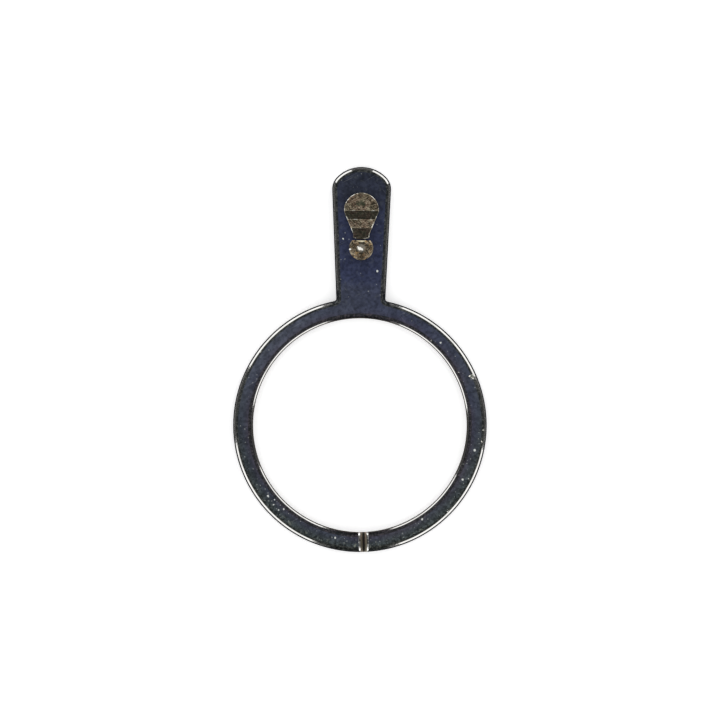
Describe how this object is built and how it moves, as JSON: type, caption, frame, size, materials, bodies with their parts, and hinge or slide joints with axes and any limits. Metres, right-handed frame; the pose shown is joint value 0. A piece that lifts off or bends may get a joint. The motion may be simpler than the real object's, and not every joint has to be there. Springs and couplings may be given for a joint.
{
  "type": "watch regulator",
  "caption": "Watch regulator with an elastic split ring, a tapered arm, a slotted turning boot and a curb pin that guide the hairspring.",
  "frame": {"origin": "centre of the ring's bore, on the flat back face that lies on the balance bridge", "axes": "+Z out of the hairspring side, +Y along the arm to its tip, +X to the right with the arm up"},
  "size_m": [0.004, 0.0061, 0.0007],
  "materials": {
    "blued_steel": "polished and blued to a near black navy, with fine scratches and specks",
    "boot_brass": "tarnished brass, dull and scratched, brighter along its worn edges",
    "pin_brass": "tarnished coppery brass, domed end worn bright"
  },
  "bodies": {
    "index": {"index_plate": "blued_steel", "curb_pin": "pin_brass"},
    "boot": {"boot": "boot_brass"}
  },
  "joints": [
    {"name": "boot_turn", "type": "hinge", "parent": "index", "child": "boot", "pos_m": [0, 0.00331, 0.00013], "axis": [0, 0, 1], "range_deg": [-90, 90]}
  ]
}
